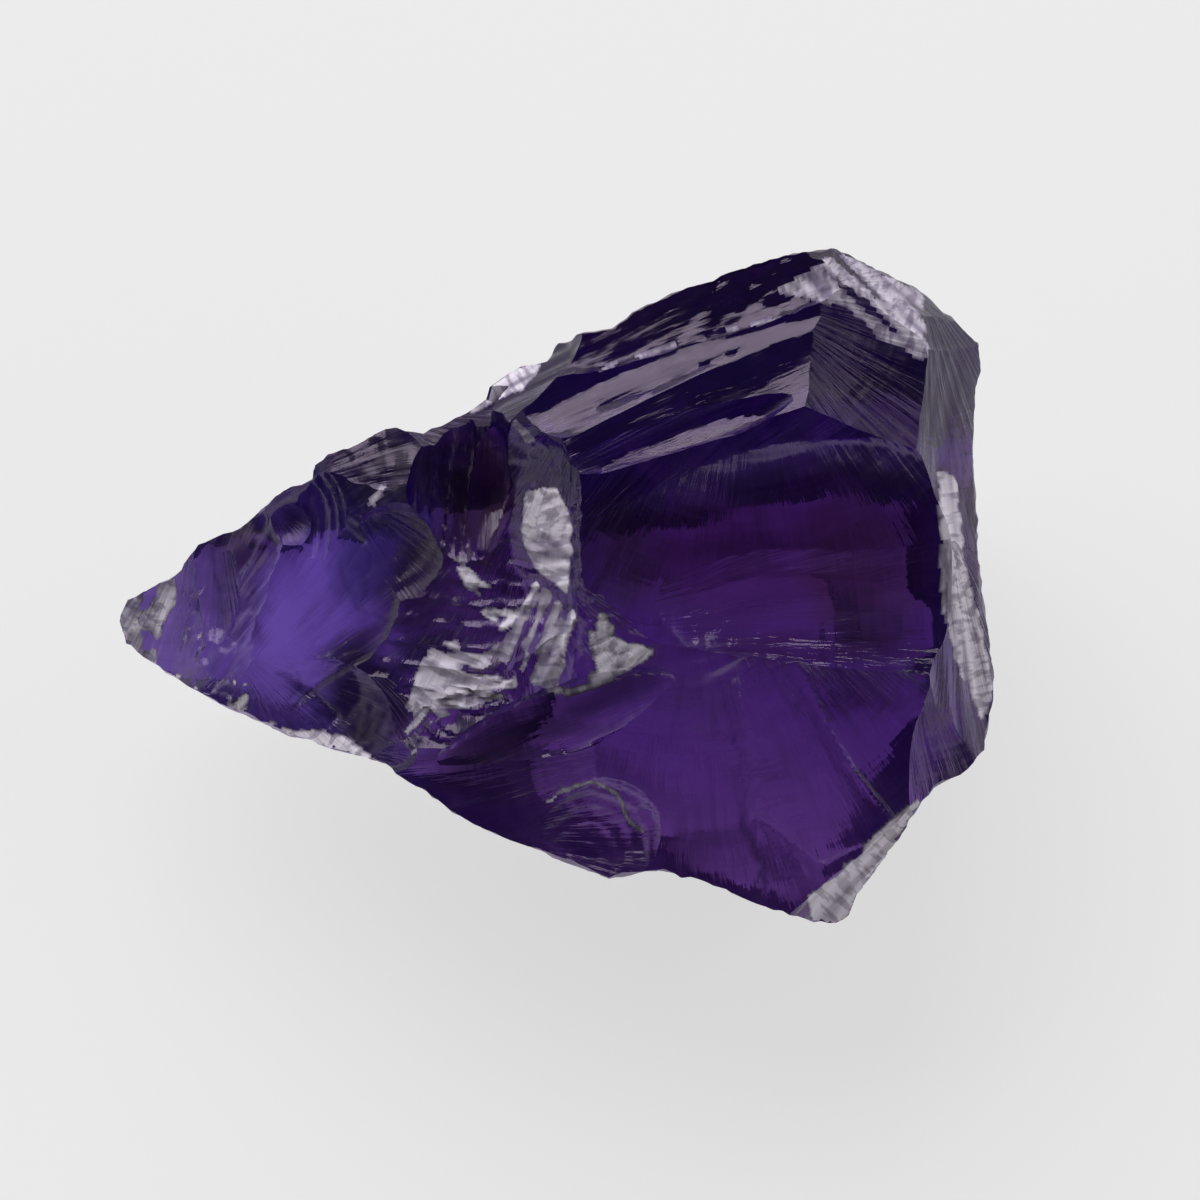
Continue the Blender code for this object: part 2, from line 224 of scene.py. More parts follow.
# The block: the lump before its faces are struck. Its side is the stone's outline as seen from
# above, which survives as the narrow, uneven edge all round between the upper and lower scars.
BLOCK_HEIGHT = 26.0
BLOCK_LEVELS = 26
EDGE_STEP = 0.4
EDGE_SCAR = 0.5
NICK_DEPTH = 0.17
NICKS_INWARDS = 0.95
OUTLINE = [
    (-21.0, -1.2), (-20.6, -0.3), (-18.8, 0.7), (-17.9, 1.4), (-17.2, 2.2), (-15.2, 3.0), (-13.9, 4.2),
    (-12.7, 5.0), (-11.9, 5.3), (-11.7, 6.1), (-11.0, 6.7), (-10.0, 6.9), (-9.2, 7.2), (-8.5, 7.6),
    (-7.6, 7.7), (-6.4, 7.4), (-4.7, 8.4), (-3.0, 9.8), (-1.9, 10.4), (-0.6, 10.9), (0.0, 11.8),
    (1.0, 12.3), (2.6, 12.5), (4.0, 13.3), (5.5, 14.1), (8.2, 15.1), (11.6, 15.9), (13.1, 16.1),
    (15.0, 15.3), (17.0, 14.4), (18.8, 12.9), (20.2, 11.6), (20.3, 10.6), (19.9, 8.6), (19.8, 6.4),
    (20.1, 4.4), (20.1, 1.4), (20.5, -1.0), (21.0, -4.3), (20.9, -5.4), (20.3, -7.8), (19.2, -8.9),
    (18.1, -9.4), (16.4, -11.5), (15.1, -13.4), (14.0, -15.7), (13.3, -16.1), (11.9, -16.0),
    (9.5, -15.1), (6.8, -13.9), (5.2, -13.5), (3.9, -13.5), (2.4, -13.8), (0.6, -13.2), (-3.7, -11.6),
    (-6.0, -10.1), (-8.1, -8.5), (-11.0, -7.5), (-13.9, -6.6), (-16.3, -5.6), (-17.9, -4.5),
    (-19.4, -3.6), (-20.8, -2.7),
]


def mesh_object(name, bm):
    mesh = bpy.data.meshes.new(name)
    bm.to_mesh(mesh)
    bm.free()
    made = bpy.data.objects.new(name, mesh)
    bpy.context.scene.collection.objects.link(made)
    return made


def uneven(outline, level):
    """The outline at one height, with the fine nicks of its edge, nearly all inwards."""
    made = []
    for start, end in zip(outline, outline[1:] + outline[:1]):
        start, step = Vector(start), Vector(end) - Vector(start)
        inwards = Vector((step.y, -step.x)).normalized()
        parts = max(1, round(step.length / EDGE_STEP))
        for i in range(parts):
            point = start + step * (i / parts)
            nick = noise.noise((point.x * 0.9, point.y * 0.9, level * 0.7))
            nick += 0.8 * noise.noise((point.x * 2.3, point.y * 2.3, level * 1.6 + 5.0))
            made.append(point + inwards * NICK_DEPTH * (NICKS_INWARDS + nick))
    return made


def block(name):
    bm = bmesh.new()
    hoops = []
    for i in range(BLOCK_LEVELS + 1):
        level = BLOCK_HEIGHT * i / BLOCK_LEVELS
        hoops.append([bm.verts.new((point.x, point.y, level)) for point in uneven(OUTLINE, level)])
    bm.faces.new(hoops[0])
    bm.faces.new(hoops[-1])
    for low, high in zip(hoops, hoops[1:]):
        for i in range(len(low)):
            j = (i + 1) % len(low)
            bm.faces.new((low[i], low[j], high[j], high[i]))
    bmesh.ops.recalc_face_normals(bm, faces=bm.faces)
    around = len(hoops[0])
    made = mesh_object(name, bm)
    crack = made.data.attributes.new("crack", "FLOAT_VECTOR", "CORNER")
    for corner, item in zip(made.data.loops, crack.data):
        across = EDGE_STEP * (corner.vertex_index % around)
        item.vector = (across, made.data.vertices[corner.vertex_index].co.z, EDGE_SCAR)
    return made


stone = block("amethyst_stone")


# How a face is struck: a cutter whose underside is the scar is taken from the stone. The scar is
# a shallow bowl through three points of its rim, with the marks that the crack left on its way.
CORE = Vector((4.0, 0.0, 10.0))
SLAB_HEIGHT = 60.0
FAN_RADIUS = 8.0


def noise_at(points, size, seed):
    """Smooth noise, -1 to 1, at an array of 2-D points."""
    scaled = points / size + 17.3 * seed
    cell = np.floor(scaled)
    part = scaled - cell
    part = part * part * (3 - 2 * part)

    def corner(dx, dy):
        return np.modf(np.sin((cell[:, 0] + dx) * 127.1 + (cell[:, 1] + dy) * 311.7) * 43758.5)[0]

    low = corner(0, 0) * (1 - part[:, 0]) + corner(1, 0) * part[:, 0]
    high = corner(0, 1) * (1 - part[:, 0]) + corner(1, 1) * part[:, 0]
    return low * (1 - part[:, 1]) + high * part[:, 1]


def turned(points, angle, long, short):
    """The points measured along and across a direction given in degrees, each in its own unit."""
    c, s = math.cos(math.radians(angle)), math.sin(math.radians(angle))
    along = points[:, 0] * c + points[:, 1] * s
    across = points[:, 1] * c - points[:, 0] * s
    return np.stack([along / long, across / short], axis=1)


def to_line(points, line):
    """Distance from each point to a bent line."""
    nearest = np.full(len(points), 1e9)
    for start, end in zip(line, line[1:]):
        start, step = np.array(start), np.array(end) - np.array(start)
        t = np.clip((points - start) @ step / (step @ step), 0, 1)
        nearest = np.minimum(nearest, np.hypot(*(points - start - t[:, None] * step).T))
    return nearest


def rings(start, spacing, depth, seed=0.0):
    """A mark, as each below: its height over the scar at points seen from above. Here rounded
    waves round the point where the crack began, with sharp crests."""
    def height(points):
        away = np.hypot(points[:, 0] - start[0], points[:, 1] - start[1])
        phase = away / spacing + 0.35 * noise_at(points, 2.5 * spacing, seed)
        swell = 0.6 + 0.6 * noise_at(points, 3.1, seed + 7)
        return depth * swell * (0.6 - np.abs(np.sin(math.pi * phase)))
    return height


def rays(start, spread, depth, seed=0.0):
    """Fine ridges that run straight away from the point where the crack began."""
    def height(points):
        dx, dy = points[:, 0] - start[0], points[:, 1] - start[1]
        angle, away = np.degrees(np.arctan2(dy, dx)), np.hypot(dx, dy)
        coarse = noise_at(np.stack([angle / spread, away / 4], axis=1), 1.0, seed)
        fine = noise_at(np.stack([angle / spread * 2.7, away / 3], axis=1), 1.0, seed + 3)
        return depth * (coarse + 0.5 * fine)
    return height


def brushed(angle, spacing, depth, seed=0.0):
    """Fine parallel ridges in one direction."""
    def height(points):
        coarse = noise_at(turned(points, angle, 14 * spacing, spacing), 1.0, seed)
        fine = noise_at(turned(points, angle, 9 * spacing, 0.4 * spacing), 1.0, seed + 3)
        return depth * (coarse + 0.5 * fine)
    return height


def terraces(start, spacing, depth, seed=0.0):
    """Steps, each a thin flake that snapped off short of the one before."""
    def height(points):
        away = np.hypot(points[:, 0] - start[0], points[:, 1] - start[1])
        phase = away / spacing + 0.7 * noise_at(points, 1.6, seed) + 0.3 * noise_at(points, 0.6, seed + 5)
        rise = phase - np.floor(phase)
        return depth * np.where(rise < 0.8, rise / 0.8, (1 - rise) / 0.2)
    return height


def swells(size, depth, seed=0.0):
    """Broad, soft waves."""
    def height(points):
        return depth * noise_at(points, size, seed)
    return height


def crumbs(size, depth, seed=0.0):
    """Small broken lumps and pits."""
    def height(points):
        lumps = 1.4 * np.abs(noise_at(points, size, seed))
        return depth * (lumps + 0.5 * noise_at(points, size / 3, seed + 2))
    return height


def groove(line, width, depth):
    """One cut along a bent line."""
    def height(points):
        return -depth * np.exp(-((to_line(points, line) / width) ** 2))
    return height


def within(mark, centre, radius):
    """A mark kept to one place."""
    def height(points):
        away = np.hypot(points[:, 0] - centre[0], points[:, 1] - centre[1])
        return mark(points) * np.exp(-((away / radius) ** 4))
    return height


def keep_crack_way(cutter, middle, start):
    """Writes at each corner of the scar how far it lies across and along the crack's fan."""
    count = len(cutter.data.vertices)
    where = np.empty(count * 3, np.float32)
    cutter.data.vertices.foreach_get("co", where)
    away = where.reshape(-1, 3)[:, :2] - np.array(start)
    across = FAN_RADIUS * np.arctan2(away[:, 1], away[:, 0])
    along = np.hypot(away[:, 0], away[:, 1])
    way = np.stack([across, along, np.full(count, 3.7 * middle.x + middle.y)], axis=1)
    corners = np.empty(len(cutter.data.loops), np.int32)
    cutter.data.loops.foreach_get("vertex_index", corners)
    crack = cutter.data.attributes.new("crack", "FLOAT_VECTOR", "CORNER")
    crack.data.foreach_set("vector", way[corners].astype(np.float32).ravel())


def strike(name, a, b, c, dish, half_length, half_width, wall=0.0, cell=0.2, marks=(), crack_from=None):
    """Takes one flake off. a and b give the scar's long axis; wall is how steeply it ends outside
    the oval; cell is how finely it is meshed; crack_from is where the crack began."""
    a, b, c = Vector(a), Vector(b), Vector(c)
    along = (b - a).normalized()
    out = along.cross(c - a).normalized()
    middle = (a + b + c) / 3
    if out.dot(middle - CORE) < 0:
        out = -out
    across = out.cross(along)
    place = Matrix.Translation(middle) @ Matrix((along, across, out)).transposed().to_4x4()
    reach = 2.0 * max(half_length, half_width)
    cells = round(2 * reach / cell)
    bm = bmesh.new()
    bmesh.ops.create_grid(bm, x_segments=cells, y_segments=cells, size=reach)
    points = np.array([vert.co.xy for vert in bm.verts])
    ratio = np.hypot(points[:, 0] / half_length, points[:, 1] / half_width)
    beyond = np.maximum(0, ratio - 1)
    heights = dish * np.where(ratio < 1, ratio * ratio - 1, 2 * beyond) + wall * half_width * beyond
    turn = np.array(place)
    seen = points @ turn[:2, :2].T + turn[:2, 3]
    for mark in marks:
        heights += mark(seen)
    for vert, height in zip(bm.verts, heights):
        vert.co.z = height
    drawn = bmesh.ops.extrude_face_region(bm, geom=bm.faces[:])["geom"]
    for vert in (item for item in drawn if isinstance(item, bmesh.types.BMVert)):
        vert.co.z = SLAB_HEIGHT
    bmesh.ops.recalc_face_normals(bm, faces=bm.faces)
    cutter = mesh_object(name, bm)
    cutter.data.transform(place)
    keep_crack_way(cutter, middle, crack_from or (a + (a - b) * 0.6).xy)
    cut = stone.modifiers.new(name, "BOOLEAN")
    cut.operation = "DIFFERENCE"
    cut.solver = "MANIFOLD"
    cut.object = cutter
    bpy.context.view_layer.update()
    struck = bpy.data.meshes.new_from_object(stone.evaluated_get(bpy.context.evaluated_depsgraph_get()))
    stone.modifiers.clear()
    stone.data = struck
    bpy.data.objects.remove(cutter)


# The underside: large, plain scars that run in under the rim to the flat break that the
# stone lies on. Their marks are broad, because a big flake comes away in one sweep.
UNDER_CELL = 0.4


def strike_under(name, a, b, c, dish, half_length, half_width, wall=0.0, seed=0.0):
    start = a[:2]
    marks = [rings(start, 2.1, 0.05, seed), rays(start, 9, 0.035, seed)]
    marks += [swells(4.2, 0.45, seed), swells(1.9, 0.12, seed + 9)]
    strike(name, a, b, c, dish, half_length, half_width, wall, UNDER_CELL, marks)


strike_under("tail_under", (-21.6, -1.4, 7.9), (-4.0, -1.0, 1.3), (-8.0, 5.5, 4.2), 1.3, 12, 9, seed=1)
strike_under("tail_back_under", (-17.8, 2.9, 9.7), (-7.0, 8.7, 13.6), (-3.6, 2.6, 0.5), 0.6, 10, 9, seed=2)
strike_under("back_under", (-6.2, 8.6, 14.0), (5.5, 15.1, 17.7), (2.0, 3.9, 0.3), 0.8, 11, 10, seed=3)
strike_under("back_right_under", (5.0, 15.1, 17.7), (14.6, 17.0, 16.6), (10.5, 4.7, 0.3), 0.7, 9, 9, seed=4)
strike_under("right_back_under", (14.0, 17.1, 16.2), (21.1, 11.7, 13.0), (14.6, 5.0, 0.3), 0.6, 8, 9,
             seed=5)
strike_under("right_under", (21.3, 11.0, 12.8), (22.0, -4.6, 11.2), (17.0, 0.0, 0.3), 0.6, 11, 8, seed=6)
strike_under("right_front_under", (22.1, -5.4, 10.6), (14.9, -17.0, 8.2), (15.0, -8.6, 0.3), 0.7, 10, 8,
             seed=7)
strike_under("front_under", (13.8, -17.1, 8.2), (-1.0, -14.0, 11.2), (6.7, -12.2, 0.3), 0.7, 11, 9, seed=8)
strike_under("front_left_under", (0.0, -14.4, 11.2), (-9.0, -9.6, 10.4), (-0.6, -7.2, 0.3), 0.7, 9, 9,
             seed=9)
strike_under("tail_front_under", (-8.0, -9.5, 7.8), (-19.4, -4.7, 7.6), (-5.0, -3.6, 0.3), 0.4, 10, 6, 0.6,
             seed=10)
strike_under("back_heel", (-1.0, 5.0, 1.9), (10.0, 6.0, 1.9), (4.5, 1.3, -0.1), 0.3, 8, 4, 0.1, seed=11)
strike_under("left_heel", (-5.8, 4.0, 5.8), (-5.2, -6.0, 5.8), (1.2, -2.0, -0.1), 0.4, 8, 5.0, 1.0, seed=12)
strike_under("front_heel", (0.6, -12.4, 1.6), (11.5, -13.6, 1.4), (6.4, -10.0, -0.1), 0.2, 8, 4, 0.1,
             seed=13)
strike_under("right_heel", (16.4, 8.0, 2.3), (17.0, -6.0, 2.3), (12.6, 2.0, -0.1), 0.3, 9, 6, 0.2, seed=14)


# The thick end: a shelf along the back, a streaky slope over it, and under its crest a trough
# and the big hollow that the light shows through. Its far corner is a fan of bright facets.
APEX = (13.9, 13.8, 19.4)
FACET_FAR = (17.4, 13.2, 17.0)
CORNER = (17.6, 11.2, 18.6)
CREST_NEAR = (1.0, 9.8, 18.6)
TOP_FAR = (12.0, 12.8, 19.9)
BROW_LEFT, BROW_RIGHT = (0.8, 5.0, 20.2), (17.6, 7.0, 19.4)
SILL_LEFT = (4.8, -3.0, 17.6)
RIDGE_HIGH, RIDGE_MID, RIDGE_LOW = (18.0, 5.0, 18.4), (18.3, 0.5, 18.0), (18.0, -4.0, 17.0)
LOW_NOTCH = (18.1, -9.4, 13.6)
SHOULDER = (20.4, 11.2, 14.0)

strike("shelf", CREST_NEAR, APEX, (6.4, 16.6, 18.3), 0.25, 8.5, 1.7, 1.2,
       marks=[crumbs(1.1, 0.1, 1), brushed(52, 0.6, 0.06, 1)])
strike("slope", CREST_NEAR, APEX, (6.8, 6.6, 22.2), 0.15, 8.5, 1.8, 0.9,
       marks=[brushed(24, 0.4, 0.03, 2), groove([(2, 8.6), (5, 9.6), (9, 11.4)], 0.12, 0.08)],
       crack_from=(-14, 2))
strike("scoop", (0.4, 7.0, 20.4), TOP_FAR, (8.0, 6.6, 21.0), 0.4, 8.5, 2.6,
       marks=[rings((-8, 2), 2.2, 0.02, 3), brushed(28, 0.5, 0.02, 3)])
strike("brow_lip", (2.0, 5.9, 19.75), (9.5, 8.5, 19.75), (6.2, 6.2, 20.45), 0.1, 4.0, 0.7, 2.0, 0.14,
       marks=[brushed(20, 0.6, 0.04, 4)])
strike("scoop_right", TOP_FAR, CORNER, BROW_RIGHT, 0.5, 5, 4,
       marks=[rings((5, 16), 1.6, 0.04, 4), rays((5, 16), 4, 0.04, 4)])
strike("window", BROW_LEFT, BROW_RIGHT, (11.0, -6.0, 16.3), 1.3, 10.5, 5.0, 0.5,
       marks=[rings((12, 16), 1.5, 0.012, 5), rays((-6, 10), 4, 0.02, 5)], crack_from=(9, 15))
strike("window_low", SILL_LEFT, RIDGE_LOW, (15.5, 1.2, 16.2), 0.4, 7, 2.6, 0.5,
       marks=[rays((2, -4), 5, 0.035, 6)])
strike("bright_facet", APEX, CORNER, FACET_FAR, 0.1, 4, 3,
       marks=[rays((9, 16), 5, 0.1, 7)], crack_from=(9, 17))
strike("bright_back", APEX, FACET_FAR, (13.0, 16.1, 17.4), 0.15, 4, 3,
       marks=[rays((9, 9), 4, 0.12, 8), crumbs(1.1, 0.08, 8)])
strike("back_right", (14.6, 15.7, 17.0), FACET_FAR, (17.0, 14.5, 14.6), 0.2, 5, 3,
       marks=[rays((12, 8), 4, 0.05, 9)])
strike("far_side", FACET_FAR, CORNER, SHOULDER, 0.2, 4, 3, marks=[rings((15, 15), 1.2, 0.03, 10)])
strike("right_upper", CORNER, RIDGE_HIGH, SHOULDER, 0.3, 6, 5,
       marks=[rings((17, 15), 1.1, 0.03, 11), brushed(80, 0.7, 0.05, 11)])
strike("right_lower", RIDGE_MID, RIDGE_LOW, (21.1, -4.6, 12.0), 0.3, 6, 6,
       marks=[brushed(95, 0.6, 0.12, 12)])
strike("heel_face", RIDGE_LOW, (20.3, -7.9, 13.0), LOW_NOTCH, 0.3, 5, 4,
       marks=[rays((17, -2), 6, 0.06, 13)])
strike("foot_side", (17.6, -9.6, 14.2), (12.0, -14.9, 12.2), (13.6, -16.0, 9.5), 0.2, 6, 4,
       marks=[brushed(52, 0.5, 0.1, 14)])


# The face towards the viewer: one smooth slope with rays that spread from under the sill, a dark
# trough below the ledge at its left, and a small round scar on its edge.
WAIST = (-8.2, -8.7, 12.3)
SILL_MIDDLE = (10.5, -2.5)

strike("lower_face", SILL_LEFT, RIDGE_LOW, (5.0, -13.5, 12.6), 0.4, 10, 7,
       marks=[rays(SILL_MIDDLE, 11, 0.05, 21), rings(SILL_MIDDLE, 2.6, 0.02, 21),
              groove([(11.5, -3.5), (12.6, -6.2), (14.0, -8.6), (16.0, -11.0)], 0.16, 0.16),
              groove([(8.5, -4.6), (9.4, -9.0), (9.7, -14.8)], 0.16, 0.12),
              groove([(9.7, -11.0), (12.6, -13.2), (14.6, -12.2)], 0.2, 0.14)], crack_from=(6.0, 3.5))
strike("front_left_face", (1.0, -7.4, 15.2), WAIST, (-3.7, -11.6, 12.0), 0.3, 7, 4,
       marks=[brushed(12, 1.0, 0.06, 22)])
strike("dark_wedge", (6.4, -4.2, 16.9), (-6.8, -9.0, 12.4), (0.6, -5.7, 15.0), 0.3, 6.2, 1.4, 2.4)
strike("arc_scar", (-1.2, -11.8, 12.6), (4.4, -11.4, 13.0), (1.6, -9.0, 14.4), 0.3, 3, 2.3, 0.6, 0.12,
       marks=[rings((1.5, -12.8), 0.8, 0.09, 24), crumbs(0.9, 0.05, 24)])


# The gully between the two ends, and at its foot the frosted wedge, where the crack ran out in
# hundreds of thin steps.
NOTCH = (-6.2, 7.4, 14.6)
ARC_MID = (0.8, -5.4, 16.2)
WEDGE_TOP, WEDGE_LEFT = (-0.7, 0.3, 17.0), (-2.6, -3.4, 15.0)
STRIP_LOW = (0.9, 0.0, 18.0)
FAN_LEFT = (-6.6, -3.0, 13.9)

strike("back_left", NOTCH, (-0.5, 11.0, 16.4), (-1.2, 9.0, 18.0), 0.15, 4, 2.5, 0.8, 0.14,
       marks=[brushed(27, 0.5, 0.08, 31)])
strike("hollow_side", NOTCH, (-5.8, 2.0, 15.0), (-2.0, 3.0, 15.8), 1.4, 5, 2.4, 0.8, 0.14,
       marks=[brushed(84, 0.45, 0.14, 32)], crack_from=(-5, 16))
strike("hollow", (-3.6, 7.4, 14.8), (-3.8, 2.0, 14.2), (-2.2, 4.6, 15.2), 1.8, 2.9, 1.5, 1.4, 0.14,
       marks=[brushed(84, 0.6, 0.05, 32)])
strike("strip", (0.8, 5.2, 19.8), STRIP_LOW, (-1.7, 2.0, 15.4), 0.3, 4.5, 3.2, 0.6, 0.12,
       marks=[rings((-0.6, 4.6), 0.9, 0.16, 33), crumbs(0.9, 0.08, 33)])
strike("right_fan", STRIP_LOW, SILL_LEFT, ARC_MID, 0.3, 3.2, 2.6, 0.4, 0.12,
       marks=[crumbs(0.8, 0.12, 34), within(brushed(88, 0.7, 0.14, 34), (1.0, -3.0), 1.6)])
strike("central_wedge", WEDGE_TOP, ARC_MID, WEDGE_LEFT, 0.2, 3.6, 2.4, 0.6, 0.12,
       marks=[brushed(66, 0.5, 0.1, 35)])
strike("ribs", (-6.2, 1.4, 14.8), (-2.0, 0.2, 16.0), (-5.5, -2.6, 14.2), 0.2, 3.2, 2.4, 0.7, 0.12,
       marks=[within(rings((-6.6, -3.8), 0.62, 0.22, 36), (-3.4, -0.2), 2.6)], crack_from=(-6.6, -3.8))
strike("left_fan", WEDGE_LEFT, FAN_LEFT, (-7.3, -8.2, 12.6), 0.3, 4, 3, 0.6, 0.12,
       marks=[terraces((-3.6, 3.0), 0.8, 0.3, 37), brushed(-12, 0.45, 0.12, 37)], crack_from=(-3.6, 3.0))


# The thin end: a bright window in the middle, a rounded bowl and lumps along its back, and small
# chips and tongues towards the point. It is thin enough to let a bluer light through.
TAIL_CELL = 0.13


def strike_tail(name, a, b, c, dish, half_length, half_width, wall, marks=(), crack_from=None):
    strike(name, a, b, c, dish, half_length, half_width, wall, TAIL_CELL, marks, crack_from)


strike("tail_rough", (-21.0, -1.5, 8.7), (-7.0, 7.5, 14.9), (-7.0, -8.5, 14.3), 0.2, 9, 8, 0.3)
strike_tail("tail_plateau", (-11.8, 5.6, 13.0), (-6.4, 7.3, 14.2), (-8.5, 4.0, 14.4), 0.15, 3.5, 2.2, 0.9,
            [crumbs(1.6, 0.1, 41)])
strike_tail("tail_bowl", (-10.2, 1.6, 13.0), (-5.2, 1.8, 14.6), (-7.6, -1.2, 13.9), 0.9, 2.9, 2.9, 0.8,
            [rings((-10.5, 5), 0.9, 0.06, 42), rays((-10.5, 5), 6, 0.03, 42)], crack_from=(-10.5, 5))
strike_tail("curtain", (-10.7, 5.2, 13.0), (-10.6, 1.5, 12.4), (-11.8, 3.4, 12.0), 0.3, 2.3, 1.3, 0.8,
            [rings((-16.4, 2.6), 0.55, 0.16, 43)], crack_from=(-11.2, 12))
strike_tail("tail_window", (-10.0, 1.2, 12.4), (-13.4, -0.6, 11.4), (-11.0, -3.6, 11.9), 0.3, 4, 3.4, 0.5,
            [brushed(52, 0.7, 0.02, 44)], crack_from=(-19, -9))
strike_tail("hair", (-10.3, -3.8, 12.4), (-6.2, -1.6, 14.0), (-9.0, -1.6, 13.3), 0.2, 2.8, 1.3, 0.6,
            [rings((-12.5, 3.4), 0.42, 0.1, 45)], crack_from=(-12.5, 3.4))
strike_tail("blue_face", (-10.2, -3.8, 12.4), (-6.9, -3.4, 13.8), (-9.0, -7.6, 11.8), 0.3, 3, 2.6, 0.5,
            [rays((-10.5, -3.5), 8, 0.03, 46)], crack_from=(-10.5, -2.5))
strike_tail("window_foot", (-13.6, -3.4, 11.2), (-10.4, -4.2, 11.6), (-12.0, -6.2, 10.4), 0.15, 2.6, 1.9, 0.5,
            [groove([(-13.0, -4.1), (-12.0, -4.9), (-10.5, -6.2)], 0.12, 0.16),
             groove([(-12.6, -5.6), (-11.4, -4.6), (-10.0, -3.8)], 0.2, 0.2), crumbs(0.7, 0.04, 47)])
strike_tail("waist_chip", (-9.0, -7.4, 11.9), (-7.0, -7.4, 12.6), (-8.0, -8.6, 11.8), 0.05, 1.2, 0.8, 1.0)
strike_tail("tail_slope", (-13.9, 2.6, 11.1), (-13.9, -4.0, 11.5), (-17.2, -1.0, 9.5), 0.25, 4.4, 2.3, 0.3,
            [brushed(60, 0.6, 0.1, 48), crumbs(1.4, 0.12, 48)], crack_from=(-20, -8))
strike_tail("tail_bevel", (-17.2, 2.0, 10.0), (-12.4, 4.9, 11.8), (-14.6, 2.4, 11.5), 0.1, 3.3, 1.0, 0.8,
            [crumbs(0.9, 0.09, 49)])
strike_tail("dark_scoop", (-13.2, 3.9, 11.6), (-11.8, 3.0, 12.2), (-12.4, 2.4, 11.8), 0.5, 1.1, 0.9, 0.9)
strike_tail("tongue", (-16.3, 1.9, 9.8), (-16.3, -2.0, 9.6), (-15.1, 0.0, 10.4), 0.25, 2.0, 0.95, 0.9,
            [rings((-16.2, 4.0), 0.9, 0.04, 50)])
strike_tail("tail_step", (-17.2, 1.4, 9.9), (-17.4, -3.6, 9.4), (-18.4, -1.0, 8.6), 0.1, 3.0, 1.2, 0.4,
            [brushed(80, 0.5, 0.08, 51)])
strike_tail("tail_tip", (-18.4, 0.8, 8.9), (-19.0, -3.4, 8.5), (-21.0, -1.5, 7.8), 0.1, 3.0, 2.2, 0.3,
            [crumbs(0.9, 0.16, 52)])
strike_tail("knob_facet", (-8.2, 7.6, 14.3), (-6.4, 6.2, 14.8), (-6.6, 7.6, 13.7), 0.05, 1.4, 1.0, 1.0)


# Wear and size: the whole surface wanders a little, though the break underneath stays flat. Then
# the stone is scaled to metres, and its faces are smoothed up to the sharp ridges.
WARP_REACH = 0.28
WARP_LENGTH = 4.5
WARP_SEED = 7
BASE_KEEP = 1.5
RIDGE_ANGLE = math.radians(28)

noise.seed_set(WARP_SEED)
for vert in stone.data.vertices:
    drift = noise.noise_vector(vert.co / WARP_LENGTH) * WARP_REACH
    drift.z *= min(1.0, vert.co.z / BASE_KEEP)
    vert.co += drift
stone.data.transform(Matrix.Scale(MM, 4))
stone.data.shade_smooth()
stone.data.set_sharp_from_angle(angle=RIDGE_ANGLE)


# The frost: where the crack broke up into tiny steps the crystal scatters the light and looks
# white. Some zones, the far corner, the right flank, the foot and the back left, are painted sheen
# instead: white painted on steep glossy facets where they reflect the light. Each zone is an
# outline seen from above, how white it is, and how it is broken up.
def smooth(low, high, value):
    t = np.clip((value - low) / (high - low), 0, 1)
    return t * t * (3 - 2 * t)


def depth_inside(points, corners):
    """How far each point is inside an outline; negative outside it."""
    ring = list(corners) + [corners[0]]
    inside = np.zeros(len(points), bool)
    for (ax, ay), (bx, by) in zip(ring, ring[1:]):
        crosses = (ay > points[:, 1]) != (by > points[:, 1])
        with np.errstate(divide="ignore", invalid="ignore"):
            inside ^= crosses & (points[:, 0] < (bx - ax) * (points[:, 1] - ay) / (by - ay) + ax)
    away = to_line(points, ring)
    return np.where(inside, away, -away)


def flakes(angle, long, short, low, high, seed):
    """White scales with dark gaps between them."""
    def amount(points):
        broad = noise_at(turned(points, angle, long, short), 1.0, seed)
        fine = noise_at(turned(points, angle, long / 3, short / 2), 1.0, seed + 4)
        return smooth(low, high, broad + 0.35 * fine)
    return amount


LEFT_FAN_FROST = [
    (-3.2, -2.3), (-5.6, -2.4), (-6.4, -3.2), (-6.9, -4.6), (-7.2, -5.6), (-6.4, -6.2), (-5.0, -6.1),
    (-3.6, -5.5), (-1.8, -4.9), (-1.8, -4.1), (-2.9, -3.9),
]
LEFT_FAN_FOOT = [(-7.2, -5.6), (-6.2, -5.8), (-5.0, -6.2), (-5.8, -7.0), (-7.4, -8.4), (-7.3, -6.8)]
PALE_STRIP = [
    (-1.4, 4.7), (0.1, 4.7), (0.7, 3.5), (0.75, 1.8), (0.55, -0.2), (-0.3, 0.3), (-1.0, 1.0),
    (-1.7, 2.2), (-1.6, 3.4),
]
WEDGE_FROST = [
    (-0.8, 0.5), (0.0, -0.3), (0.9, -1.2), (0.4, -2.6), (0.3, -3.4), (-0.1, -5.1), (-1.2, -4.6),
    (-1.9, -3.8), (-2.6, -3.6), (-3.2, -2.9), (-2.7, -1.9), (-1.6, -0.8),
]
RIGHT_FAN_FROST = [
    (2.0, -1.0), (2.8, -1.7), (2.7, -2.2), (3.6, -2.6), (4.9, -2.9), (4.2, -3.4), (3.3, -4.0),
    (2.0, -4.55), (0.5, -4.95), (-0.9, -4.9), (-0.2, -4.7), (1.2, -4.7), (1.9, -4.2), (1.8, -2.6),
]
WEDGE_LEFT_RIDGE = [(-1.0, 0.4), (-0.6, 0.4), (-1.5, -0.9), (-2.6, -2.1), (-2.8, -1.9), (-1.6, -0.6)]
WEDGE_RIGHT_RIDGE = [
    (0.8, -1.0), (1.0, -1.5), (0.5, -2.6), (0.5, -3.4), (0.1, -5.0), (-0.2, -5.0), (0.2, -3.4), (0.2, -2.5),
]
